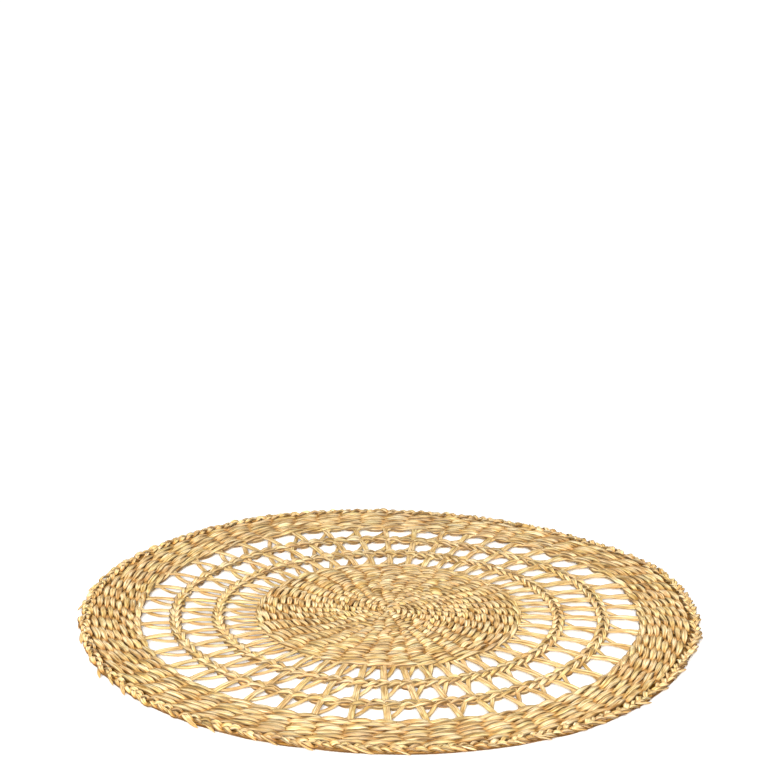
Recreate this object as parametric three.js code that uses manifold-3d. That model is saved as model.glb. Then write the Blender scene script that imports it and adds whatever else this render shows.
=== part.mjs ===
// Round openwork placemat, twined from rush.
// One woven piece: a close-twined disc, two narrow braided rings and a broad outer band
// are worked in one go over the same radiating stakes. The stakes show crossed in the
// three open zones, and their turned-down ends are plaited into the border.
// Units are millimetres, +Z is up, and the mat lies on Z = 0 around the origin.
import * as THREE from 'three';
import { mergeVertices } from 'three/addons/utils/BufferGeometryUtils.js';
import Module from 'manifold-3d';

const wasm = await Module();
wasm.setup();

// Radii of the woven parts, before the hand-made unevenness is put in
const DISC_RADIUS = 84;
const RING_WIDTH = 9;
const RING_RADII = [104, 130.4];
const BAND_INNER = 152;
const PLAIT_INNER = 181.5;
const MAT_RADIUS = 190;

// Heights over the table
const ROW_CREST = 4.6;
const ROW_VALLEY = 3.5;
const PLAIT_CREST = 6;
const PLAIT_DIP = 4.8;

// Rows of twining, each one rib of the surface
const ROW_PITCH = 4.2;
const START_ROWS = 2;
const RING_ROWS = 2;

// Stakes: at each station a doubled strand passes over a single one
const STATIONS = 46;
const DISC_SIDES = STATIONS / 2;
const OVER = { width: 3.4, flat: 3.4, low: 2, high: 3.4, lean: 2 };
const UNDER = { width: 2.4, flat: 0, low: 0.3, high: 1.7, inner: 3.5, outer: -1.3 };
const STAKE_HOLD = 1.5;
const STAKE_LEAD = 0.25;

// Border plait: one lump where the stakes of each station are turned down in it
const PLAIT_LUMPS = STATIONS;
const PLAIT_SWELL = 0.9;

// Outline of the mat: how far it strays from its mean radius at each heading in degrees
const OUTLINE = [
  { at: 0, stray: 1.9 },
  { at: 25, stray: 6.2 },
  { at: 50, stray: 0.4 },
  { at: 80, stray: -1.4 },
  { at: 120, stray: 3.4 },
  { at: 150, stray: 0.6 },
  { at: 190, stray: -1.5 },
  { at: 250, stray: 0 },
  { at: 300, stray: 0.6 },
  { at: 340, stray: -1.8 },
];

// Stations crowd and spread round the mat: how far each heading is turned, in degrees
const DRIFT = [
  { at: 0, turn: -2 },
  { at: 30, turn: -5.4 },
  { at: 60, turn: -7.8 },
  { at: 95, turn: -12.4 },
  { at: 150, turn: -12.4 },
  { at: 175, turn: -8.8 },
  { at: 200, turn: -8.6 },
  { at: 220, turn: -6.6 },
  { at: 255, turn: -5.4 },
  { at: 282, turn: -5.6 },
  { at: 322, turn: -8 },
  { at: 345, turn: -4 },
];

// The weaver's starting point sits a little off the middle of the finished mat
const START_SHIFT = 4;

const STRAW = new THREE.Color('#d9b878');

// Value of a closed table at a heading, eased between its rows
function around(table, key, heading) {
  const turn = ((heading % 360) + 360) % 360;
  const next = table.findIndex((row) => row.at > turn);
  const b = next < 0 ? table[0] : table[next];
  const a = next < 0 ? table[table.length - 1] : table[next - 1];
  const span = (next < 0 ? 360 : b.at) - a.at;
  return a[key] + (b[key] - a[key]) * THREE.MathUtils.smoothstep((turn - a.at) / span, 0, 1);
}

// Puts a point of the ideal mat where the hand-made one has it
function unevenPoint(radius, heading) {
  const turned = heading + around(DRIFT, 'turn', heading);
  const angle = THREE.MathUtils.degToRad(turned);
  const outwards = THREE.MathUtils.smoothstep(radius, DISC_RADIUS, MAT_RADIUS);
  const r = radius + around(OUTLINE, 'stray', turned) * outwards;
  const shift = START_SHIFT * (1 - radius / MAT_RADIUS) ** 2;
  return new THREE.Vector2(r * Math.cos(angle), r * Math.sin(angle) + shift);
}

// Closed solid from a geometry, ready to be joined to others
function solidOf(geometry) {
  geometry.deleteAttribute('normal');
  geometry.deleteAttribute('uv');
  const merged = mergeVertices(geometry, 1e-3);
  return new wasm.Manifold(new wasm.Mesh({
    numProp: 3,
    vertProperties: new Float32Array(merged.attributes.position.array),
    triVerts: new Uint32Array(merged.index.array),
  }));
}

// Profile points of ribs side by side, from the outer edge inwards
function ribs(inner, outer, rows) {
  const points = [];
  const pitch = (outer - inner) / rows;
  for (let row = rows - 1; row >= 0; row--) {
    const left = inner + row * pitch;
    points.push(new THREE.Vector2(left + pitch / 2, ROW_CREST));
    if (row > 0) points.push(new THREE.Vector2(left, ROW_VALLEY));
  }
  return points;
}

// Turns a profile into a ring of the mat, with the stakes clear of its corners
function turnedRing(profile, sides, place = (radius, z) => ({ radius, z })) {
  const geometry = new THREE.LatheGeometry(profile, sides);
  geometry.rotateX(Math.PI / 2);
  geometry.rotateZ(THREE.MathUtils.degToRad(90 - STAKE_LEAD * (360 / STATIONS)));
  const position = geometry.attributes.position;
  for (let i = 0; i < position.count; i++) {
    const heading = THREE.MathUtils.radToDeg(Math.atan2(position.getY(i), position.getX(i)));
    const radius = Math.hypot(position.getX(i), position.getY(i));
    const corner = Math.floor(i / profile.length);
    const moved = place(radius, position.getZ(i), corner);
    const point = unevenPoint(moved.radius, heading);
    position.setXYZ(i, point.x, point.y, moved.z);
  }
  return solidOf(geometry);
}

// Disc: rows of twining out from the start, flat underneath
function disc() {
  const rows = Math.round(DISC_RADIUS / ROW_PITCH);
  const profile = [
    new THREE.Vector2(0, 0),
    new THREE.Vector2(DISC_RADIUS, 0),
    new THREE.Vector2(DISC_RADIUS, ROW_VALLEY),
    ...ribs(START_ROWS * ROW_PITCH, DISC_RADIUS, rows - START_ROWS),
    new THREE.Vector2(0, ROW_CREST),
  ];
  return turnedRing(profile, DISC_SIDES);
}

// Ring or band: rows of twining between two radii
function openRing(inner, outer, rows) {
  const profile = [
    new THREE.Vector2(inner, 0),
    new THREE.Vector2(outer, 0),
    new THREE.Vector2(outer, ROW_VALLEY),
    ...ribs(inner, outer, rows),
    new THREE.Vector2(inner, ROW_VALLEY),
    new THREE.Vector2(inner, 0),
  ];
  return turnedRing(profile, STATIONS);
}

// Border: a plait laid round the band, higher and wider at each lump
function plait() {
  const middle = (PLAIT_INNER + MAT_RADIUS) / 2;
  const profile = [
    new THREE.Vector2(PLAIT_INNER - 2, 0),
    new THREE.Vector2(MAT_RADIUS - 1.5, 0),
    new THREE.Vector2(MAT_RADIUS, PLAIT_CREST / 2),
    new THREE.Vector2(middle, PLAIT_CREST),
    new THREE.Vector2(PLAIT_INNER - 2, 0),
  ];
  return turnedRing(profile, 2 * PLAIT_LUMPS, (radius, z, corner) => {
    if (corner % 2 === 0 || radius < middle - 1) return { radius, z };
    return { radius: radius - PLAIT_SWELL, z: Math.min(z, PLAIT_DIP) };
  });
}

// Straight strand between two points of the ideal mat, flat or ridged along its top
function strand(from, to, form) {
  const a = unevenPoint(from.radius, from.heading);
  const b = unevenPoint(to.radius, to.heading);
  const section = new THREE.Shape();
  section.moveTo(-form.width / 2, form.low);
  section.lineTo(form.width / 2, form.low);
  section.lineTo(form.flat / 2, form.high);
  if (form.flat > 0) section.lineTo(-form.flat / 2, form.high);
  const geometry = new THREE.ExtrudeGeometry(section, {
    depth: a.distanceTo(b),
    bevelEnabled: false,
  });
  geometry.rotateX(Math.PI / 2);
  geometry.rotateZ(Math.atan2(b.y - a.y, b.x - a.x) + Math.PI / 2);
  geometry.translate(a.x, a.y, 0);
  return solidOf(geometry);
}

// Stakes of one station: the over strand runs on, the under strands start afresh per zone
function stakes(station, zones) {
  const heading = (360 / STATIONS) * station;
  const first = zones[0].inner - STAKE_HOLD;
  const last = zones[zones.length - 1].outer + STAKE_HOLD;
  const lean = (radius) => heading + (OVER.lean * (radius - first)) / (last - first);
  const start = { radius: first, heading: lean(first) };
  const end = { radius: last, heading: lean(last) };
  const strands = [strand(start, end, OVER)];
  for (const zone of zones) {
    const inner = zone.inner - STAKE_HOLD;
    const outer = zone.outer + STAKE_HOLD;
    const from = { radius: inner, heading: lean(inner) + UNDER.inner };
    const to = { radius: outer, heading: lean(outer) + UNDER.outer };
    strands.push(strand(from, to, UNDER));
  }
  return strands;
}

// Open zones lie between the edges of the close-woven parts
const edges = [DISC_RADIUS];
for (const radius of RING_RADII) edges.push(radius - RING_WIDTH / 2, radius + RING_WIDTH / 2);
edges.push(BAND_INNER);
const zones = [];
for (let i = 0; i < edges.length; i += 2) zones.push({ inner: edges[i], outer: edges[i + 1] });

let weave = disc();
for (const radius of RING_RADII) {
  weave = weave.add(openRing(radius - RING_WIDTH / 2, radius + RING_WIDTH / 2, RING_ROWS));
}
const bandRows = Math.round((PLAIT_INNER - BAND_INNER) / ROW_PITCH);
weave = weave.add(openRing(BAND_INNER, PLAIT_INNER + 0.5, bandRows));
weave = weave.add(plait());
for (let station = 0; station < STATIONS; station++) {
  for (const piece of stakes(station, zones)) weave = weave.add(piece);
}

// Mesh of the joined weave, centred on the origin
const joined = weave.getMesh();
const geometry = new THREE.BufferGeometry();
geometry.setAttribute('position', new THREE.BufferAttribute(joined.vertProperties, 3));
geometry.setIndex(new THREE.BufferAttribute(joined.triVerts, 1));
geometry.computeBoundingBox();
const middle = geometry.boundingBox.getCenter(new THREE.Vector3());
geometry.translate(-middle.x, -middle.y, -geometry.boundingBox.min.z);
geometry.computeVertexNormals();

const mat = new THREE.Mesh(
  geometry,
  new THREE.MeshStandardMaterial({ color: STRAW, roughness: 0.75, metalness: 0 }),
);
mat.name = 'woven_mat';

const placemat = new THREE.Group();
placemat.add(mat);

export default placemat;
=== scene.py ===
import math

import bpy
import numpy as np
from mathutils import Matrix, Vector


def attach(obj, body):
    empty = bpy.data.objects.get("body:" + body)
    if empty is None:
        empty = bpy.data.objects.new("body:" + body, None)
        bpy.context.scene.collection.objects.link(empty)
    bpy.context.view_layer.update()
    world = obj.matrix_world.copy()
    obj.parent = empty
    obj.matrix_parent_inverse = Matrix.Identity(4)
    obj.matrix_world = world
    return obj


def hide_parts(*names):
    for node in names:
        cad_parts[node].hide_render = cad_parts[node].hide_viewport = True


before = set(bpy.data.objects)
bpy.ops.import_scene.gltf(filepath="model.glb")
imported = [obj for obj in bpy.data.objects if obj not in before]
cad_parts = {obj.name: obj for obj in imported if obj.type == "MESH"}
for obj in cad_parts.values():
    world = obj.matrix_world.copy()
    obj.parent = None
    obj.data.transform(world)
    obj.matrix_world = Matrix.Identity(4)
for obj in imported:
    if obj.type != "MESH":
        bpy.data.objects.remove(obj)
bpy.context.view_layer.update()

# Disc: the middle of the mat, close-twined from dried seagrass round a set of spokes.
# In each row two flattened stems twist round each other between the spokes, so that
# from above every spoke is crossed by one plump, slanted float.
MM = 0.001
MAT_RADIUS = 190 * MM
DISC_RADIUS = 84 * MM
WEAVE_MIDDLE = 2.4 * MM
# The weaver's starting point lies this far off the middle of the finished mat
START_SHIFT = 4 * MM
# How far the edge strays from a true circle at each heading, in degrees and millimetres
OUTLINE = [
    {"at": 0, "stray": 1.9},
    {"at": 25, "stray": 6.2},
    {"at": 50, "stray": 0.4},
    {"at": 80, "stray": -1.4},
    {"at": 120, "stray": 3.4},
    {"at": 150, "stray": 0.6},
    {"at": 190, "stray": -1.5},
    {"at": 250, "stray": 0.0},
    {"at": 300, "stray": 0.6},
    {"at": 340, "stray": -1.8},
]
# How far the spokes are turned where they crowd or spread, in degrees
DRIFT = [
    {"at": 0, "turn": -2.0},
    {"at": 30, "turn": -5.4},
    {"at": 60, "turn": -7.8},
    {"at": 95, "turn": -12.4},
    {"at": 150, "turn": -12.4},
    {"at": 175, "turn": -8.8},
    {"at": 200, "turn": -8.6},
    {"at": 220, "turn": -6.6},
    {"at": 255, "turn": -5.4},
    {"at": 282, "turn": -5.6},
    {"at": 322, "turn": -8.0},
    {"at": 345, "turn": -4.0},
]


def around(table, key, heading):
    """Value of a closed table at each heading in degrees, eased between its rows."""
    heading = np.mod(heading, 360)
    at = np.array([row["at"] for row in table] + [360])
    value = np.array([row[key] for row in table] + [table[0][key]])
    row = np.clip(np.searchsorted(at, heading, side="right") - 1, 0, len(table) - 1)
    part = (heading - at[row]) / (at[row + 1] - at[row])
    return value[row] + (value[row + 1] - value[row]) * part * part * (3 - 2 * part)


def edge_point(heading):
    """Point of the mat's edge before the whole mat is centred."""
    radius = MAT_RADIUS + around(OUTLINE, "stray", heading) * MM
    return radius * np.cos(np.radians(heading)), radius * np.sin(np.radians(heading))


EDGE_STEP = 0.25
edge_x, edge_y = edge_point(np.arange(0, 360, EDGE_STEP))
CENTRE = ((edge_x.max() + edge_x.min()) / 2, (edge_y.max() + edge_y.min()) / 2)


def uneven(radius, heading, height):
    """Points of the ideal mat, in metres and degrees, put where the hand-made one has them."""
    turned = heading + around(DRIFT, "turn", heading)
    part = np.clip((radius - DISC_RADIUS) / (MAT_RADIUS - DISC_RADIUS), 0, 1)
    outwards = part * part * (3 - 2 * part)
    reach = radius + around(OUTLINE, "stray", turned) * MM * outwards
    shift = START_SHIFT * (1 - radius / MAT_RADIUS) ** 2
    x = reach * np.cos(np.radians(turned)) - CENTRE[0]
    y = reach * np.sin(np.radians(turned)) + shift - CENTRE[1]
    return np.column_stack([x, y, height + 0 * x])


def put(tree, kind, settings=None, links=None):
    """Adds a node to a tree, with its settings and what feeds its sockets."""
    new = tree.nodes.new(kind)
    for name, value in (settings or {}).items():
        setattr(new, name, value)
    for name, value in (links or {}).items():
        if isinstance(value, bpy.types.NodeSocket):
            tree.links.new(value, new.inputs[name])
        else:
            new.inputs[name].default_value = value
    return new


def linear(hex_colour):
    """An sRGB hex colour as linear red, green, blue and alpha."""
    parts = [int(hex_colour[i:i + 2], 16) / 255 for i in (1, 3, 5)]
    return [c / 12.92 if c <= 0.04045 else ((c + 0.055) / 1.055) ** 2.4 for c in parts] + [1]


# Real sizes of the markings on a stem: light and dark stripes, narrow creases among them,
# slow fades along the stem, and a greener or redder cast that changes slower still
HALF_STEM = 2 * MM
STRIPE_WIDTH = 1.21 * MM
STRIPE_LENGTH = 11.11 * MM
CREASE_WIDTH = 0.59 * MM
CREASE_LENGTH = 12.82 * MM
FADE_LENGTH = 18.52 * MM
CAST_LENGTH = 45.05 * MM
# Each stem reads the markings at a place of its own within this length, in metres
OWN_STRETCH = 1.6167
# Height of the stripes over the creases
SKIN_RELIEF = 0.3 * MM
# Index of refraction of the waxy skin
SEAGRASS_IOR = 1.45


def seagrass(name, shade, straw, gleam, painted_shade, flank_shade, furrow_shade):
    """Dried seagrass: a thin waxy skin that creased lengthwise as the stem dried.

    It runs from shade through straw to gleam. Its last colour is painted shade along its flanks
    and where it dives, and the two amounts after it say how dark the painted shade on its flanks
    and in the fold along its back is.
    In a mix node, socket 0 is the amount, and 6 and 7 are the two colours.
    """
    material = bpy.data.materials.new(name)
    material.use_nodes = True
    tree = material.node_tree
    shader = tree.nodes["Principled BSDF"]
    rush = put(tree, "ShaderNodeAttribute", {"attribute_name": "rush"})
    skin = put(tree, "ShaderNodeAttribute", {"attribute_name": "skin"})
    along = put(tree, "ShaderNodeSeparateXYZ", None, {0: rush.outputs["Vector"]})
    length, tone, dive_shade = along.outputs[0], along.outputs[1], along.outputs[2]
    apart = put(tree, "ShaderNodeMath", {"operation": "MULTIPLY_ADD"},
                {0: tone, 1: OWN_STRETCH, 2: length})
    lift = put(tree, "ShaderNodeCombineXYZ", None, {2: apart.outputs[0]})
    surface = put(tree, "ShaderNodeVectorMath", {"operation": "MULTIPLY_ADD"},
                  {0: skin.outputs["Vector"], 1: (HALF_STEM, HALF_STEM, 0), 2: lift.outputs[0]})

    # Light and dark stripes, broken along the stem by slow fades
    stripe_place = put(tree, "ShaderNodeVectorMath", {"operation": "DIVIDE"},
                       {0: surface.outputs[0], 1: (STRIPE_WIDTH, STRIPE_WIDTH, STRIPE_LENGTH)})
    stripe = put(tree, "ShaderNodeTexNoise", None, {
        "Vector": stripe_place.outputs[0], "Scale": 1.0, "Detail": 3, "Roughness": 0.6})
    fade = put(tree, "ShaderNodeTexNoise", {"noise_dimensions": "1D"},
               {"W": apart.outputs[0], "Scale": 1 / FADE_LENGTH, "Detail": 2})
    level = put(tree, "ShaderNodeMath", {"operation": "MULTIPLY_ADD"},
                {0: fade.outputs[0], 1: 0.6, 2: stripe.outputs[0]})
    scaled = put(tree, "ShaderNodeMapRange", None,
                 {"Value": level.outputs[0], "From Min": 0.56, "From Max": 1.04})
    ramp = put(tree, "ShaderNodeValToRGB", None, {0: scaled.outputs[0]})
    ramp.color_ramp.elements[0].color = linear(shade)
    ramp.color_ramp.elements[1].color = linear(gleam)
    middle = ramp.color_ramp.elements.new(0.42)
    middle.color = linear(straw)

    # Creases: narrow dark lines that run the length of the stem
    crease_place = put(tree, "ShaderNodeVectorMath", {"operation": "DIVIDE"},
                       {0: surface.outputs[0], 1: (CREASE_WIDTH, CREASE_WIDTH, CREASE_LENGTH)})
    finer = put(tree, "ShaderNodeTexNoise", None,
                {"Vector": crease_place.outputs[0], "Scale": 1.0, "Detail": 1})
    crease = put(tree, "ShaderNodeMapRange", None, {
        "Value": finer.outputs[0], "From Min": 0.34, "From Max": 0.46, "To Min": 1.0, "To Max": 0.0})
    drawn = put(tree, "ShaderNodeMath", {"operation": "MULTIPLY"}, {0: crease.outputs[0], 1: 0.75})
    lined = put(tree, "ShaderNodeMix", {"data_type": "RGBA"},
                {0: drawn.outputs[0], 6: ramp.outputs[0], 7: linear(shade)})

    # Painted shade: a stem is painted warmer and darker as it goes down, and deep brown
    # underneath, where shade falls between the stems
    low_warm_shade = put(tree, "ShaderNodeMapRange", None, {
        "Value": dive_shade, "From Min": 0.08, "From Max": 0.6, "To Max": 0.9})
    warm_shaded = put(tree, "ShaderNodeMix", {"data_type": "RGBA", "blend_type": "MULTIPLY"},
                 {0: low_warm_shade.outputs[0], 6: lined.outputs[2], 7: linear("#e8c488")})
    sunk = put(tree, "ShaderNodeMapRange", None, {
        "Value": dive_shade, "From Min": 0.6, "From Max": 0.92, "To Max": 0.95})
    shaded_below = put(tree, "ShaderNodeMix", {"data_type": "RGBA"},
                {0: sunk.outputs[0], 6: warm_shaded.outputs[2], 7: linear(painted_shade)})

    # Painted shade: dark flanks, which part each stem from the next, and a dark line in the
    # fold along its back, where shade falls
    across = put(tree, "ShaderNodeSeparateXYZ", None, {0: skin.outputs["Vector"]})
    aside = put(tree, "ShaderNodeMath", {"operation": "ABSOLUTE"}, {0: across.outputs[0]})
    flank_shade_mask = put(tree, "ShaderNodeMapRange", None, {
        "Value": aside.outputs[0], "From Min": 0.62, "From Max": 0.95, "To Max": flank_shade})
    flank_shaded = put(tree, "ShaderNodeMix", {"data_type": "RGBA"},
                   {0: flank_shade_mask.outputs[0], 6: shaded_below.outputs[2], 7: linear(painted_shade)})
    furrow_shade_mask = put(tree, "ShaderNodeMapRange", None, {
        "Value": aside.outputs[0], "From Min": 0.02, "From Max": 0.2, "To Min": furrow_shade, "To Max": 0.0})
    folded = put(tree, "ShaderNodeMix", {"data_type": "RGBA"},
                 {0: furrow_shade_mask.outputs[0], 6: flank_shaded.outputs[2], 7: linear(shade)})

    # A faint green or red cast, for some stems are cut greener than others
    cast = put(tree, "ShaderNodeTexNoise", {"noise_dimensions": "1D"},
               {"W": apart.outputs[0], "Scale": 1 / CAST_LENGTH, "Detail": 1})
    tint = put(tree, "ShaderNodeValToRGB", None, {0: cast.outputs[0]})
    tint.color_ramp.elements[0].position = 0.3
    tint.color_ramp.elements[0].color = linear("#f9f9e6")
    tint.color_ramp.elements[1].position = 0.7
    tint.color_ramp.elements[1].color = linear("#fff6f3")
    neutral = tint.color_ramp.elements.new(0.5)
    neutral.color = linear("#ffffff")
    tinted = put(tree, "ShaderNodeMix", {"data_type": "RGBA", "blend_type": "MULTIPLY"},
                 {0: 1.0, 6: folded.outputs[2], 7: tint.outputs[0]})
    tree.links.new(tinted.outputs[2], shader.inputs["Base Color"])

    # The crowns are waxy, more so on their light stripes, and what lies low has no shine
    sheen = put(tree, "ShaderNodeMapRange", None, {
        "Value": sunk.outputs[0], "From Max": 0.9, "To Min": 0.5, "To Max": 0.0})
    tree.links.new(sheen.outputs[0], shader.inputs["Specular IOR Level"])
    rough = put(tree, "ShaderNodeMapRange", None, {
        "Value": stripe.outputs[0], "From Min": 0.3, "From Max": 0.7, "To Min": 0.68, "To Max": 0.48})
    tree.links.new(rough.outputs[0], shader.inputs["Roughness"])
    relief = put(tree, "ShaderNodeMath", {"operation": "SUBTRACT"},
                 {0: stripe.outputs[0], 1: crease.outputs[0]})
    bump = put(tree, "ShaderNodeBump", None,
               {"Strength": 0.6, "Distance": SKIN_RELIEF, "Height": relief.outputs[0]})
    tree.links.new(bump.outputs[0], shader.inputs["Normal"])
    shader.inputs["IOR"].default_value = SEAGRASS_IOR
    return material


# A stem bends and turns a little at random, about this many times in a metre
BENDS_A_METRE = 90.0
# Each stem takes its bends from a place of its own in the noise, this far apart
OWN_BENDS = 31.7
# The section is a circle, pinched to Fold at its middle and a little full at its sides
LOBE_PLACE = 0.7
LOBE_HEIGHT = 1.15
# The lowest that any stem lies over the table
CLEARANCE = 0.05 * MM


def rush_tree():
    """Geometry Nodes: sweeps a flattened, folded stem along each chain of edges that it is given.

    The attribute rush holds the length along the stem, its own random tone and how deep it
    dives, which sets how much painted shade the material gives it. The attribute skin holds the
    place round the stem, on a circle of radius 1.
    """
    tree = bpy.data.node_groups.new("rush_along_a_path", "GeometryNodeTree")
    for name, kind in [
        ("Geometry", "NodeSocketGeometry"), ("Width", "NodeSocketFloat"),
        ("Thickness", "NodeSocketFloat"), ("Wander", "NodeSocketFloat"),
        ("Roll", "NodeSocketFloat"), ("Fold", "NodeSocketFloat"), ("Sides", "NodeSocketInt"),
        ("Seed", "NodeSocketInt"), ("Material", "NodeSocketMaterial"),
    ]:
        tree.interface.new_socket(name, in_out="INPUT", socket_type=kind)
    tree.interface.new_socket("Geometry", in_out="OUTPUT", socket_type="NodeSocketGeometry")
    given = tree.nodes.new("NodeGroupInput").outputs
    ready = tree.nodes.new("NodeGroupOutput")

    # What the material reads along the stem
    strung = put(tree, "GeometryNodeMeshToCurve", None, {0: given["Geometry"]})
    swell = put(tree, "GeometryNodeInputNamedAttribute", {"data_type": "FLOAT"},
                {"Name": "swell"})
    spline = put(tree, "GeometryNodeSplineParameter")
    tone = put(tree, "FunctionNodeRandomValue", {"data_type": "FLOAT"},
               {2: 0.0, 3: 1.0, "Seed": given["Seed"]})
    toned = put(tree, "GeometryNodeStoreNamedAttribute",
                {"data_type": "FLOAT", "domain": "CURVE"},
                {"Geometry": strung.outputs[0], "Name": "tone", "Value": tone.outputs[1]})
    own_tone = put(tree, "GeometryNodeInputNamedAttribute", {"data_type": "FLOAT"},
                   {"Name": "tone"})
    dive_shade = put(tree, "GeometryNodeInputNamedAttribute", {"data_type": "FLOAT"},
               {"Name": "dive_shade"})
    along = put(tree, "ShaderNodeCombineXYZ", None, {
        0: spline.outputs["Length"], 1: own_tone.outputs[0], 2: dive_shade.outputs[0]})
    marked = put(tree, "GeometryNodeStoreNamedAttribute",
                 {"data_type": "FLOAT_VECTOR", "domain": "POINT"},
                 {"Geometry": toned.outputs[0], "Name": "rush", "Value": along.outputs[0]})

    # Wander and Roll: the small bends and turns of a hand-laid stem
    spread = put(tree, "ShaderNodeMath", {"operation": "MULTIPLY_ADD"},
                 {0: own_tone.outputs[0], 1: OWN_BENDS, 2: given["Seed"]})
    stray = put(tree, "ShaderNodeTexNoise", {"noise_dimensions": "4D"},
                {"W": spread.outputs[0], "Scale": BENDS_A_METRE, "Detail": 1.0})
    centred = put(tree, "ShaderNodeVectorMath", {"operation": "SUBTRACT"},
                  {0: stray.outputs["Color"], 1: (0.5, 0.5, 0.5)})
    offset = put(tree, "ShaderNodeVectorMath", {"operation": "SCALE"},
                 {0: centred.outputs[0], "Scale": given["Wander"]})
    moved = put(tree, "GeometryNodeSetPosition", None,
                {"Geometry": marked.outputs[0], "Offset": offset.outputs[0]})
    upright = put(tree, "GeometryNodeSetCurveNormal", {"mode": "Z_UP"},
                  {"Curve": moved.outputs[0]})
    turn = put(tree, "ShaderNodeMath", {"operation": "SUBTRACT"}, {0: stray.outputs[0], 1: 0.5})
    tilt = put(tree, "ShaderNodeMath", {"operation": "MULTIPLY"},
               {0: turn.outputs[0], 1: given["Roll"]})
    rolled = put(tree, "GeometryNodeSetCurveTilt", None,
                 {"Curve": upright.outputs[0], "Tilt": tilt.outputs[0]})

    # The section: a flattened ring with its middle folded in
    ring = put(tree, "GeometryNodeCurvePrimitiveCircle", None,
               {"Resolution": given["Sides"], "Radius": 1.0})
    point = put(tree, "GeometryNodeInputPosition")
    skinned = put(tree, "GeometryNodeStoreNamedAttribute",
                  {"data_type": "FLOAT_VECTOR", "domain": "POINT"},
                  {"Geometry": ring.outputs[0], "Name": "skin", "Value": point.outputs[0]})
    girth = put(tree, "ShaderNodeSeparateXYZ", None, {0: point.outputs[0]})
    aside = put(tree, "ShaderNodeMath", {"operation": "ABSOLUTE"}, {0: girth.outputs[0]})
    lobe = put(tree, "ShaderNodeMapRange", None, {
        "Value": aside.outputs[0], "From Max": LOBE_PLACE, "To Min": given["Fold"],
        "To Max": LOBE_HEIGHT})
    tall = put(tree, "ShaderNodeMath", {"operation": "MULTIPLY"},
               {0: girth.outputs[1], 1: lobe.outputs[0]})
    creased = put(tree, "ShaderNodeCombineXYZ", None, {0: girth.outputs[0], 1: tall.outputs[0]})
    folded = put(tree, "GeometryNodeSetPosition", None,
                 {"Geometry": skinned.outputs[0], "Position": creased.outputs[0]})
    whole = put(tree, "ShaderNodeCombineXYZ", None,
                {0: given["Width"], 1: given["Thickness"], 2: 1.0})
    halved = put(tree, "ShaderNodeVectorMath", {"operation": "SCALE"},
                 {0: whole.outputs[0], "Scale": 0.5})
    section = put(tree, "GeometryNodeTransform", None,
                  {"Geometry": folded.outputs[0], "Scale": halved.outputs[0]})

    # The stem: swept, pressed flat where it would go under the table, and made plain mesh
    swept = put(tree, "GeometryNodeCurveToMesh", None, {
        "Curve": rolled.outputs[0], "Profile Curve": section.outputs[0],
        "Scale": swell.outputs[0], "Fill Caps": True})
    place = put(tree, "GeometryNodeInputPosition")
    axes = put(tree, "ShaderNodeSeparateXYZ", None, {0: place.outputs[0]})
    above = put(tree, "ShaderNodeMath", {"operation": "MAXIMUM"},
                {0: axes.outputs[2], 1: CLEARANCE})
    pressed = put(tree, "ShaderNodeCombineXYZ", None,
                  {0: axes.outputs[0], 1: axes.outputs[1], 2: above.outputs[0]})
    laid = put(tree, "GeometryNodeSetPosition", None,
               {"Geometry": swept.outputs[0], "Position": pressed.outputs[0]})
    smooth = put(tree, "GeometryNodeSetShadeSmooth", None, {"Geometry": laid.outputs[0]})
    real = put(tree, "GeometryNodeRealizeInstances", None, {"Geometry": smooth.outputs[0]})
    done = put(tree, "GeometryNodeSetMaterial", None,
               {"Geometry": real.outputs[0], "Material": given["Material"]})
    tree.links.new(done.outputs[0], ready.inputs[0])
    return tree


RUSH_TREE = rush_tree()


def woven_piece(name, paths, material, seed, width, thickness, wander, roll, fold, sides=8):
    """Sweeps stems along paths and leaves them as one plain mesh that rides on the mat.

    A path has its points, whether it is closed, and its swell and dive, for the whole stem
    or for each point. Swell is the girth as a share of the width and thickness.
    """
    points, edges = [], []
    for path in paths:
        first, count = len(points), len(path["points"])
        points += path["points"].tolist()
        edges += [(first + i, first + i + 1) for i in range(count - 1)]
        if path["closed"]:
            edges.append((first + count - 1, first))
    lines = bpy.data.meshes.new(name + "_paths")
    lines.from_pydata(points, edges, [])
    for key in ("swell", "dive_shade"):
        runs = [np.broadcast_to(path[key], len(path["points"])) for path in paths]
        values = np.concatenate(runs).astype(np.float32)
        lines.attributes.new(key, "FLOAT", "POINT").data.foreach_set("value", values)
    holder = bpy.data.objects.new(name + "_paths", lines)
    bpy.context.scene.collection.objects.link(holder)
    nodes = holder.modifiers.new("rush", "NODES")
    nodes.node_group = RUSH_TREE
    given = {"Width": width, "Thickness": thickness, "Wander": wander, "Roll": roll,
             "Fold": fold, "Sides": sides, "Seed": seed, "Material": material}
    for socket in RUSH_TREE.interface.items_tree:
        if socket.in_out == "INPUT" and socket.name in given:
            nodes[socket.identifier] = given[socket.name]
    evaluated = holder.evaluated_get(bpy.context.evaluated_depsgraph_get())
    mesh = bpy.data.meshes.new_from_object(evaluated)
    bpy.data.objects.remove(holder)
    piece = bpy.data.objects.new(name, mesh)
    bpy.context.scene.collection.objects.link(piece)
    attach(piece, "root")
    return piece


def round_the_row(values, turn):
    """Values at even steps of one turn, read at each part of the turn and joined end to end."""
    steps = np.arange(len(values) + 1) / len(values)
    return np.interp(turn, steps, np.append(values, values[0]))


# Points along each stitch, and how unevenly the stitches are spaced, as a share of one
STITCH_POINTS = 9
PACE = 0.11
# A stem keeps nearly level over a crown, and drops the more steeply between two of them
LEVEL_CROWN = 0.3
# It thins to its waist between two stitches, and is fuller underneath than on top
WAIST = 0.64
WAIST_CURVE = 0.9
UNDER_GIRTH = 1.2
# Girths of single stitches, as shares of the stem's own
STITCH_GIRTHS = (0.86, 1.12)
# How far a single stitch lies out of its row
NUDGE = 0.25 * MM
# A stem at an open edge is in the light, so it darkens only this much as it dives
EDGE_DIVE = 0.3


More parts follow.
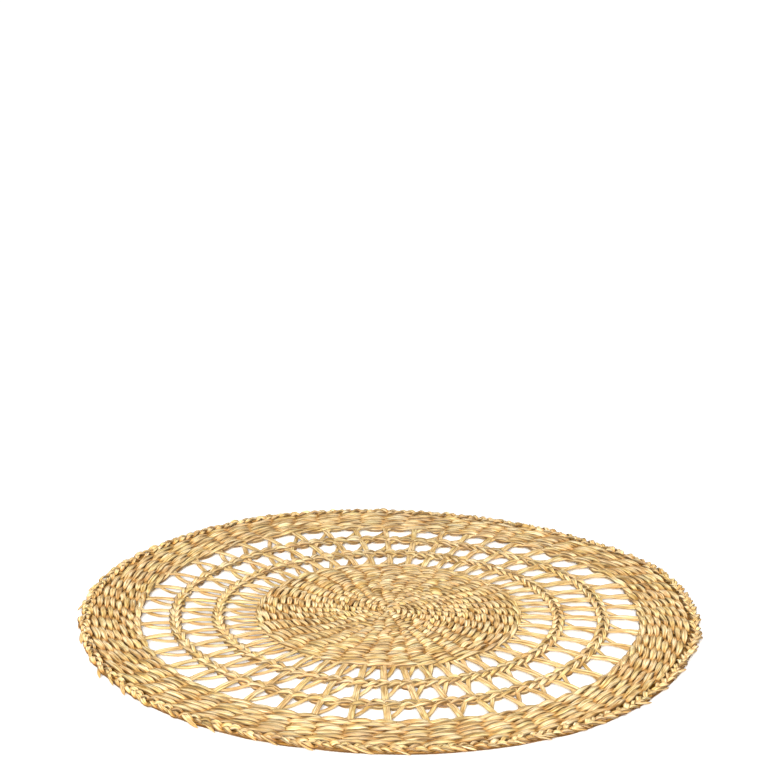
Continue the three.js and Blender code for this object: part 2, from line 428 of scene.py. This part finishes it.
def twined_row(radius, stitches, slant, rng, start=0.0, edge=False, width=1.0, sway=0.9 * MM,
               lift=0.75 * MM):
    """The two stems of one closed row of twining, each over every other spoke."""
    turn = np.arange(stitches * STITCH_POINTS) / (stitches * STITCH_POINTS)
    pace = round_the_row(rng.normal(0, PACE, stitches), turn)
    for side in (0, 1):
        phase = math.pi * (turn * stitches + side + start + pace)
        over = np.cos(phase)
        flat = over * (1 + LEVEL_CROWN - LEVEL_CROWN * over * over)
        stitch = np.floor(turn * stitches + 0.5).astype(int) % stitches
        plump = rng.uniform(*STITCH_GIRTHS, stitches)[stitch]
        nudge = rng.normal(0, NUDGE, stitches)[stitch] * np.abs(over)
        full = np.where(over > 0, 1.0, UNDER_GIRTH)
        yield {
            "points": uneven(radius + slant * sway * np.sin(phase) + nudge, turn * 360,
                             WEAVE_MIDDLE + lift * flat),
            "swell": (WAIST + (full - WAIST) * np.abs(over) ** WAIST_CURVE) * plump * width,
            # Painted shade: the lower the stem dives under its neighbour, the darker it is painted
            "dive_shade": (0.5 - 0.5 * flat) * (EDGE_DIVE if edge else 1.0),
            "closed": True,
        }


# Seagrass twined damp and left to dry gives the eye plump crowns in streaks of straw and
# pale gold with a soft sheen and a crease along each stem, and painted shade: a dark line in
# that crease, dark flanks, and deep brown where stems go under
STRAW = seagrass("seagrass", shade="#8f6828", straw="#d6b47a", gleam="#f3e3b8", painted_shade="#402602",
                 flank_shade=0.9, furrow_shade=0.5)
# Spokes are added as the disc grows, so the stitches of a row grow in number
DISC_ZONES = [
    {"rows": 3, "stitches": 8},
    {"rows": 4, "stitches": 18},
    {"rows": 13, "stitches": 34},
]
DISC_EDGE = 81.4 * MM
DISC_ROWS = sum(zone["rows"] for zone in DISC_ZONES)
# The first rows are worked with thinner stems, up to this row
START_WIDTH = 0.8
FULL_WIDTH_ROW = 6
# How far each row's stitches lie past those of the row before, how unevenly that grows,
# and how far a single row strays from it, as shares of a stitch
SPIRAL = 0.03
SPIRAL_STRAY = 0.08
START_STRAY = 0.07
rng = np.random.default_rng(11)
paths = []
row = 0
for zone in DISC_ZONES:
    start = 0.0
    for _ in range(zone["rows"]):
        start += rng.normal(SPIRAL, SPIRAL_STRAY)
        radius = (row + 0.5) * DISC_EDGE / DISC_ROWS
        paths += twined_row(radius, zone["stitches"], -1, rng, start + rng.normal(0, START_STRAY),
                            edge=row == DISC_ROWS - 1,
                            width=START_WIDTH
                            + (1 - START_WIDTH) * min(row / FULL_WIDTH_ROW, 1))
        row += 1
disc = woven_piece("twined_disc", paths, STRAW, seed=3, width=4.0 * MM, thickness=2.5 * MM,
                   wander=0.6 * MM, roll=1.5, fold=0.5)

# Rings: two narrow braids of the same seagrass, which hold the open stakes apart.
# Each is two rows of twining worked with opposite slant, so that their stitches meet
# in chevrons.
RING_RADII = [104 * MM, 130.6 * MM]
RING_PITCH = 3.4 * MM
RING_STITCHES = 92
RING_START_STRAY = 0.1
paths = []
for middle in RING_RADII:
    for side in (-1, 1):
        radius = middle + side * RING_PITCH / 2
        paths += twined_row(radius, RING_STITCHES, -side, rng, rng.normal(0, RING_START_STRAY),
                            edge=True, sway=0.95 * MM, lift=1.0 * MM)
rings = woven_piece("braided_rings", paths, STRAW, seed=5, width=3.2 * MM, thickness=2.3 * MM,
                    wander=0.6 * MM, roll=1.5, fold=0.5)

# Outer band: seven rows of close twining in the disc's own seagrass and slant, worked
# over the spread stakes once they have left the open zones. It gives the mat its weight
# and its flat rim.
BAND_INNER = 152 * MM
BAND_OUTER = 181.5 * MM
BAND_ROWS = 7
BAND_STITCHES = 68
paths = []
start = 0.0
for row in range(BAND_ROWS):
    start += rng.normal(SPIRAL, SPIRAL_STRAY)
    radius = BAND_INNER + (row + 0.5) * (BAND_OUTER - BAND_INNER) / BAND_ROWS
    paths += twined_row(radius, BAND_STITCHES, -1, rng, start + rng.normal(0, START_STRAY),
                        edge=row == 0)
band = woven_piece("twined_band", paths, STRAW, seed=7, width=4.2 * MM, thickness=2.5 * MM,
                   wander=0.6 * MM, roll=1.5, fold=0.5)

# Over stakes: the spokes of the open zones, each a pair of thin seagrass stems that run
# side by side from the disc through both rings into the outer band. They lie on top of
# the under stakes, and the two stems of a pair part a little here and there.
STATIONS = 46
OPEN_ZONES = [(84, 99.5), (108.5, 125.9), (134.9, 152)]
# Thinner, straighter stems of the same seagrass look paler and plainer, and as they lie
# free in the light, their flanks are less dark
PALE_STRAW = seagrass("seagrass_stake", shade="#9c7536", straw="#d3b176", gleam="#efdcae",
                      painted_shade="#402602", flank_shade=0.45, furrow_shade=0.45)
# Each stake leans by this many degrees over this many millimetres, from this radius on
STAKE_LEAN = 2.0
LEAN_LENGTH = 71
LEAN_START = 82.5
# The stems of a pair lie at least this far off their middle line, in millimetres, and
# part further at these radii: a little where they are slack, and more at one in four
PAIR_HALF = 0.78
PARTING = 0.4
PARTING_RADII = [80, 92, 104, 117, 130, 143, 156]
SLACK = 0.5
MORE_SLACK = 0.6
MORE_SLACK_SHARE = 0.25
# How far a pair rises in an open zone, and how far one of its stems lies over that and
# the other under it, in millimetres
OVER_LIFT = 0.55
PAIR_STEP = 0.1
# Girths of single over stakes, as shares of the stem's own
OVER_GIRTHS = (0.9, 1.1)
stake_radius = np.linspace(80.5, 156, 40)
stake_lean = STAKE_LEAN * (stake_radius - LEAN_START) / LEAN_LENGTH
# 1 in the middle of an open zone and 0 where a stake goes into close work
in_zone = np.zeros_like(stake_radius)
for low, high in OPEN_ZONES:
    part = np.clip((stake_radius - low) / (high - low), 0, 1)
    in_zone = np.maximum(in_zone, np.sin(np.pi * part) ** 0.8)
paths = []
for station in range(STATIONS):
    heading = station * 360 / STATIONS
    looseness = rng.uniform(0, SLACK, len(PARTING_RADII))
    looseness += MORE_SLACK * (rng.random(len(PARTING_RADII)) > 1 - MORE_SLACK_SHARE)
    for side in (-1, 1):
        spread = PAIR_HALF + PARTING * np.interp(stake_radius, PARTING_RADII, looseness)
        aside = np.degrees(side * spread / stake_radius)
        height = WEAVE_MIDDLE + (OVER_LIFT * in_zone + PAIR_STEP * side) * MM
        paths.append({
            "points": uneven(stake_radius * MM, heading + stake_lean + aside, height),
            "swell": rng.uniform(*OVER_GIRTHS),
            # Painted shade where the stake goes into close work, and none in the open zones
            "dive_shade": 0.15 * (1 - in_zone),
            "closed": False,
        })
over = woven_piece("over_stakes", paths, PALE_STRAW, seed=9, width=2.2 * MM,
                   thickness=1.2 * MM, wander=1.0 * MM, roll=1.0, fold=0.8)

# Under stakes: single, slightly broader stems of the same seagrass. In each open
# zone one slants across beneath every pair, and the rings bind the two where they meet,
# which makes the row of narrow triangles.
# Course of an under stake: how far it is turned from the over stake at each radius, in
# degrees and millimetres, and how far it drops in an open zone
UNDER_COURSE = [
    {"radius": 80.0, "turn": 4.6},
    {"radius": 84.5, "turn": 3.5},
    {"radius": 99.5, "turn": -1.3},
    {"radius": 108.5, "turn": -4.3},
    {"radius": 125.9, "turn": -9.1},
    {"radius": 134.9, "turn": -12.1},
    {"radius": 152.0, "turn": -16.9},
    {"radius": 156.0, "turn": -18.0},
]
UNDER_DROP = 1.05 * MM
UNDER_GIRTHS = (0.88, 1.12)
course_radii = [knot["radius"] for knot in UNDER_COURSE]
course_turns = [knot["turn"] for knot in UNDER_COURSE]
crossing = np.interp(stake_radius, course_radii, course_turns)
paths = []
for station in range(STATIONS):
    heading = station * 360 / STATIONS + stake_lean + crossing
    paths.append({
        "points": uneven(stake_radius * MM, heading, WEAVE_MIDDLE - UNDER_DROP * in_zone),
        "swell": rng.uniform(*UNDER_GIRTHS),
        # A little painted shade all along, as the under stakes lie beneath the pairs
        "dive_shade": 0.16,
        "closed": False,
    })
under = woven_piece("under_stakes", paths, PALE_STRAW, seed=13, width=2.8 * MM,
                    thickness=1.2 * MM, wander=1.0 * MM, roll=1.2, fold=0.7)

# Hidden spokes: the seagrass stems that the close twining is worked over, and rings laid
# between its rows only to fill its small gaps. They are almost covered, and are painted deep
# brown, as painted shade in those gaps.
SPOKES = [
    {"low": 3, "high": 13, "count": 8},
    {"low": 12, "high": 30, "count": 16},
    {"low": 29, "high": 80, "count": 34},
    {"low": 154, "high": 184, "count": 70},
]
SPOKE_POINTS = 8
SHADE_FILL_HEIGHT = 1.7 * MM
BAND_SHADE_FILL_POINTS = 140


def laid_ring(radius, count, height, swell, dive_shade):
    """A stem laid in a flat ring, through this many points."""
    turn = np.arange(count) / count
    return {"points": uneven(radius, turn * 360, height), "swell": swell, "dive_shade": dive_shade,
            "closed": True}


paths = []
for group in SPOKES:
    radius = np.linspace(group["low"], group["high"], SPOKE_POINTS) * MM
    for spoke in range(group["count"]):
        heading = spoke * 360 / group["count"]
        paths.append({"points": uneven(radius, heading, WEAVE_MIDDLE), "swell": 1, "dive_shade": 0.8,
                      "closed": False})
# Rings between the rows of the disc and of the band: dark fill painted as shade
for row in range(1, DISC_ROWS):
    radius = row * DISC_EDGE / DISC_ROWS
    paths.append(laid_ring(radius, 12 + 5 * row, SHADE_FILL_HEIGHT, swell=0.8, dive_shade=1))
for row in range(1, BAND_ROWS):
    radius = BAND_INNER + row * (BAND_OUTER - BAND_INNER) / BAND_ROWS
    paths.append(laid_ring(radius, BAND_SHADE_FILL_POINTS, SHADE_FILL_HEIGHT, swell=0.8, dive_shade=1))
spokes_and_shade_fill = woven_piece("hidden_spokes_and_shade_fill", paths, STRAW, seed=15, width=3.2 * MM,
                     thickness=1.4 * MM, wander=0.2 * MM, roll=0.2, fold=1.0, sides=6)

# Border: the seagrass stakes are turned down and plaited along the rim in three flat
# strands, so that the rim shows a chain of small slanted knots with dark gaps beside
# them. Three stems lie flat beneath the plait as its bed, and painted shade on them, and on
# each strand where it goes under, makes those dark gaps.
PLAITS = 62
PLAIT_POINTS = 14
BORDER_MIDDLE = 185.5
PLAIT_MIDDLE = 2.9 * MM
# How far a strand swings in and out, in millimetres, and how far it goes over and under
SWING = 2.1
RISE = 0.95 * MM
# Uneven spacing of the knots, and how far one is pulled in or out, in millimetres
PLAIT_PACE = 0.06
PLAIT_PULL = 0.75
# Girths of single knots, and how much fuller a strand is on top of the others
KNOT_GIRTHS = (0.66, 1.12)
STRAND_GIRTH = 0.95
TOP_FULLNESS = 0.15
BED_RADII = [181.4, 183.6, 186.2]
BED_HEIGHT = 1.3 * MM
BED_POINTS = 240
paths = []
turn = np.arange(PLAITS * PLAIT_POINTS) / (PLAITS * PLAIT_POINTS)
for strand in range(3):
    pace = round_the_row(rng.normal(0, PLAIT_PACE, PLAITS), turn)
    pull = round_the_row(rng.normal(0, PLAIT_PULL, 2 * PLAITS), turn)
    phase = 2 * math.pi * (turn * PLAITS + strand / 3 + pace)
    radius = BORDER_MIDDLE + SWING * np.sin(phase) + pull
    high = np.sin(2 * phase)
    plump = rng.uniform(*KNOT_GIRTHS, 2 * PLAITS)[np.floor(turn * 2 * PLAITS).astype(int)]
    paths.append({
        "points": uneven(radius * MM, turn * 360, PLAIT_MIDDLE + RISE * high),
        "swell": (STRAND_GIRTH + TOP_FULLNESS * high) * plump,
        # Painted shade where the strand goes under the others
        "dive_shade": 0.4 - 0.42 * high,
        "closed": True,
    })
for radius in BED_RADII:
    paths.append(laid_ring(radius * MM, BED_POINTS, BED_HEIGHT, swell=0.95, dive_shade=0.78))
plait = woven_piece("plaited_border", paths, STRAW, seed=17, width=3.2 * MM,
                    thickness=1.9 * MM, wander=0.6 * MM, roll=2.4, fold=0.45)

# Cut ends: each seagrass stake is trimmed by hand past its last knot, at a slant. Most
# ends are short and lie along the plait, and a few stand well out of the rim and give
# it its ragged line.
ENDS = 66
END_POINTS = 9
END_START = 186.4
# How unevenly the ends are spread round the rim, and how far round it one runs, in degrees
END_STRAY = 2.6
END_RUN = (2.4, 4.2)
# How far an end reaches out of the plait, in millimetres. Each adds LONG_REACH times the
# cube of a number up to LONGEST, so that only a few are long.
END_REACH = 2.6
LONG_REACH = 0.9
LONGEST = 1.5
# Height at which an end leaves the plait, how far it slopes down, and how far it droops
END_TOP = 3.6
END_SLOPE = (0.4, 1.2)
END_DROOP = 1.1
# Girth along an end, which the slanting cut brings to a point
GIRTH_PLACES = [0, 0.3, 0.75, 1]
GIRTH_SHARES = [0.7, 1.0, 0.9, 0.12]
# Girths of single ends, as shares of the stem's own
END_GIRTHS = (0.6, 1.25)
paths = []
along = np.linspace(0, 1, END_POINTS)
for end in range(ENDS):
    heading = end * 360 / ENDS + rng.uniform(-END_STRAY, END_STRAY)
    run = rng.uniform(*END_RUN)
    out = LONG_REACH * rng.uniform(0, LONGEST) ** 3
    height = END_TOP - rng.uniform(*END_SLOPE) * along - END_DROOP * along * along
    reach = END_START + (END_REACH + out) * along ** 0.8
    taper = np.interp(along, GIRTH_PLACES, GIRTH_SHARES)
    paths.append({
        "points": uneven(reach * MM, heading + run * along, height * MM),
        "swell": taper * rng.uniform(*END_GIRTHS),
        # Painted shade that grows towards the tip, where the end droops low
        "dive_shade": 0.05 + 0.3 * along,
        "closed": False,
    })
ends = woven_piece("cut_ends", paths, PALE_STRAW, seed=19, width=2.6 * MM, thickness=1.1 * MM,
                   wander=0.8 * MM, roll=1.6, fold=0.6)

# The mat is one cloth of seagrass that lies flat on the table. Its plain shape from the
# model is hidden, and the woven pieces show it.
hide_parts("woven_mat")

# Floor: a plain pale surface of matt paper, which the mat lies on. It glows a little far
# from the mat, as a lit paper sweep does, so that it stays as white there as near by.
FLOOR_HALF = 6
# The glow at its full, and how far from the mat's middle it starts and is full, in metres
GLOW = 0.45
GLOW_START = 0.3
GLOW_FULL = 2.5
floor_mesh = bpy.data.meshes.new("floor")
corners = [(-FLOOR_HALF, -FLOOR_HALF, 0), (FLOOR_HALF, -FLOOR_HALF, 0),
           (FLOOR_HALF, FLOOR_HALF, 0), (-FLOOR_HALF, FLOOR_HALF, 0)]
floor_mesh.from_pydata(corners, [], [(0, 1, 2, 3)])
floor = bpy.data.objects.new("floor", floor_mesh)
bpy.context.scene.collection.objects.link(floor)
# Uncoated paper: even, without shine, and all but white
paper = bpy.data.materials.new("matt_paper")
paper.use_nodes = True
sweep = paper.node_tree.nodes["Principled BSDF"]
sweep.inputs["Base Color"].default_value = linear("#f7f6f4")
sweep.inputs["Roughness"].default_value = 0.9
sweep.inputs["Emission Color"].default_value = linear("#ffffff")
where = put(paper.node_tree, "ShaderNodeTexCoord")
away = put(paper.node_tree, "ShaderNodeVectorMath", {"operation": "LENGTH"},
           {0: where.outputs["Object"]})
glow = put(paper.node_tree, "ShaderNodeMapRange", None, {
    "Value": away.outputs[1], "From Min": GLOW_START, "From Max": GLOW_FULL, "To Max": GLOW})
paper.node_tree.links.new(glow.outputs[0], sweep.inputs["Emission Strength"])
floor_mesh.materials.append(paper)

# Light: a white surround, a large soft lamp low in front, which picks out every stem by
# its shade, and a faint one above. Places and sizes are in metres, and powers in watts.
SURROUND = 0.6
LAMPS = [
    {"name": "key_light", "place": (-0.25, -2.75, 1.25), "size": 1.7, "power": 232},
    {"name": "top_light", "place": (0.2, 0.3, 1.5), "size": 1.2, "power": 5},
]
world = bpy.data.worlds.new("studio")
world.use_nodes = True
world.node_tree.nodes["Background"].inputs["Color"].default_value = linear("#ffffff")
world.node_tree.nodes["Background"].inputs["Strength"].default_value = SURROUND
bpy.context.scene.world = world
for lamp in LAMPS:
    light = bpy.data.lights.new(lamp["name"], "AREA")
    light.size = lamp["size"]
    light.energy = lamp["power"]
    stand = bpy.data.objects.new(lamp["name"], light)
    stand.location = lamp["place"]
    stand.rotation_euler = (-Vector(lamp["place"])).to_track_quat("-Z", "Y").to_euler()
    bpy.context.scene.collection.objects.link(stand)
bpy.context.scene.view_settings.view_transform = "Standard"

# Camera: at the photograph's angle, worked out from the mat's outline and rings as they
# show in it. Its place is told from the mat's middle in mat radii, its angles in radians,
# and its focal length in pixels of the photograph.
CAMERA_PLACE = Vector((-0.0066, -5.9833, 2.4487))
RIM_HEIGHT = 4.5 * MM
PITCH = 0.2785
ROLL = 0.0167
FOCAL_PIXELS = 1993.7
PHOTO_TALL = 781
SENSOR = 36
forward = Vector((0, math.cos(PITCH), -math.sin(PITCH)))
side = Vector((1, 0, 0))
up = side.cross(forward)
turned_side = math.cos(ROLL) * side + math.sin(ROLL) * up
turned_up = math.cos(ROLL) * up - math.sin(ROLL) * side
lens = bpy.data.cameras.new("camera")
lens.sensor_width = SENSOR
lens.lens = SENSOR * FOCAL_PIXELS / PHOTO_TALL
camera = bpy.data.objects.new("camera", lens)
rotation = Matrix((turned_side, turned_up, -forward)).transposed()
place = MAT_RADIUS * CAMERA_PLACE + Vector((-CENTRE[0], -CENTRE[1], RIM_HEIGHT))
camera.matrix_world = Matrix.Translation(place) @ rotation.to_4x4()
bpy.context.scene.collection.objects.link(camera)
bpy.context.scene.camera = camera
